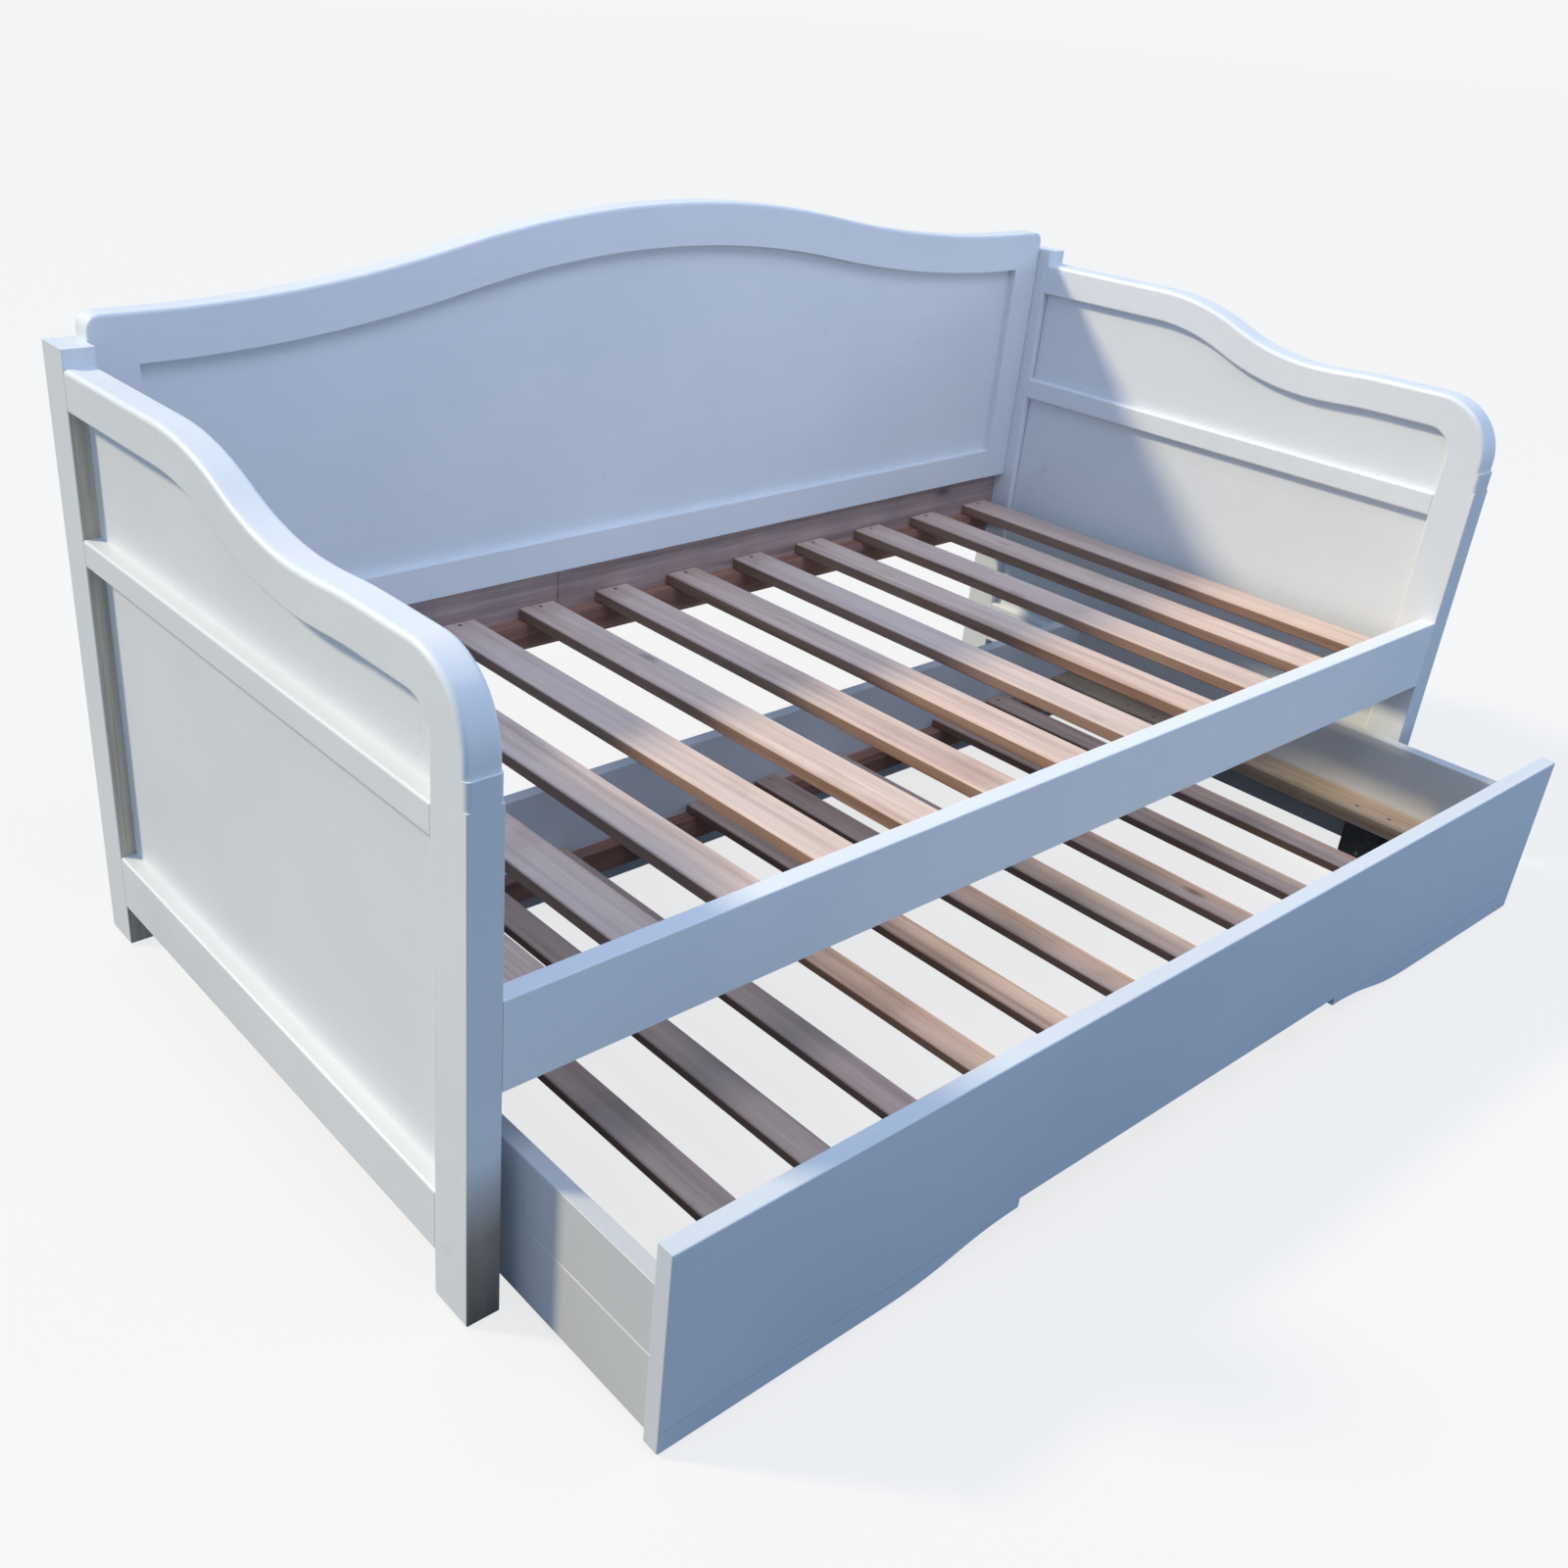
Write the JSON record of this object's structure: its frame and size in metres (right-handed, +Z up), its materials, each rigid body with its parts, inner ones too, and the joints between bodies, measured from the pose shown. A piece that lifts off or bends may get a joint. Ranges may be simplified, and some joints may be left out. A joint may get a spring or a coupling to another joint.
{
  "type": "trundle bed",
  "caption": "Single day bed with a camel-back rear panel and swept, panelled ends, slatted base, and a slatted trundle box on castors that rolls out from underneath.",
  "frame": {"origin": "centre of the object's bounding box on the floor, with the trundle drawn out as stored", "axes": "+X along the bed's length towards the right-hand end as seen from the front, -Y towards the side the trundle comes out of, +Z up"},
  "size_m": [2, 1.249, 1.018],
  "materials": {
    "frame_paint": "brushed satin white paint",
    "trundle_paint": "brushed satin white paint",
    "slat_wood": "planed, unvarnished softwood",
    "ledger_wood": "planed, unvarnished softwood",
    "rail_wood": "planed, unvarnished softwood",
    "dowel_wood": "turned beech",
    "zinc": "zinc plated",
    "castor_plastic": "moulded, matte dark grey",
    "wheel_plastic": "matte dark grey tread",
    "glide_plastic": "moulded, matte"
  },
  "bodies": {
    "bed": {"left_front_post": "frame_paint", "left_rear_post": "frame_paint", "left_top_rail": "frame_paint", "left_middle_rail": "frame_paint", "left_bottom_rail": "frame_paint", "left_upper_panel": "frame_paint", "left_lower_panel": "frame_paint", "right_front_post": "frame_paint", "right_rear_post": "frame_paint", "right_top_rail": "frame_paint", "right_middle_rail": "frame_paint", "right_bottom_rail": "frame_paint", "right_upper_panel": "frame_paint", "right_lower_panel": "frame_paint", "back_left_stile": "frame_paint", "back_right_stile": "frame_paint", "back_top_rail": "frame_paint", "back_bottom_rail": "frame_paint", "back_panel": "frame_paint", "front_rail": "frame_paint", "rear_rail": "rail_wood", "front_ledger": "ledger_wood", "rear_ledger": "ledger_wood", "bed_slat_01": "slat_wood", "bed_slat_02": "slat_wood", "bed_slat_03": "slat_wood", "bed_slat_04": "slat_wood", "bed_slat_05": "slat_wood", "bed_slat_06": "slat_wood", "bed_slat_07": "slat_wood", "bed_slat_08": "slat_wood", "bed_slat_09": "slat_wood", "bed_slat_10": "slat_wood", "bed_slat_11": "slat_wood", "bed_slat_12": "slat_wood", "slat_screws": "zinc", "bracket_screws": "zinc", "corner_brackets": "zinc", "cam_bolts": "zinc", "cam_locks": "zinc", "frame_dowels": "dowel_wood", "leg_glides": "glide_plastic"},
    "trundle": {"trundle_front_board": "trundle_paint", "trundle_left_lower_board": "trundle_paint", "trundle_left_upper_board": "trundle_paint", "trundle_right_lower_board": "trundle_paint", "trundle_right_upper_board": "trundle_paint", "trundle_rear_board": "trundle_paint", "trundle_front_ledger": "ledger_wood", "trundle_rear_ledger": "ledger_wood", "trundle_left_bearer": "ledger_wood", "trundle_right_bearer": "ledger_wood", "trundle_slats": "slat_wood", "trundle_screws": "zinc", "castor_housings": "castor_plastic", "castor_axles": "zinc"},
    "left_front_wheel": {"left_front_wheel": "wheel_plastic"},
    "left_rear_wheel": {"left_rear_wheel": "wheel_plastic"},
    "right_front_wheel": {"right_front_wheel": "wheel_plastic"},
    "right_rear_wheel": {"right_rear_wheel": "wheel_plastic"}
  },
  "joints": [
    {"name": "trundle_slide", "type": "slide", "parent": "bed", "child": "trundle", "axis": [0, -1, 0], "range_m": [-0.259, 0.685]},
    {"name": "left_front_wheel_spin", "type": "hinge", "parent": "trundle", "child": "left_front_wheel", "pos_m": [-0.861, -0.3975, 0.028], "axis": [1, 0, 0], "continuous": true},
    {"name": "left_rear_wheel_spin", "type": "hinge", "parent": "trundle", "child": "left_rear_wheel", "pos_m": [-0.861, 0.0905, 0.028], "axis": [1, 0, 0], "continuous": true},
    {"name": "right_front_wheel_spin", "type": "hinge", "parent": "trundle", "child": "right_front_wheel", "pos_m": [0.861, -0.3975, 0.028], "axis": [1, 0, 0], "continuous": true},
    {"name": "right_rear_wheel_spin", "type": "hinge", "parent": "trundle", "child": "right_rear_wheel", "pos_m": [0.861, 0.0905, 0.028], "axis": [1, 0, 0], "continuous": true}
  ]
}
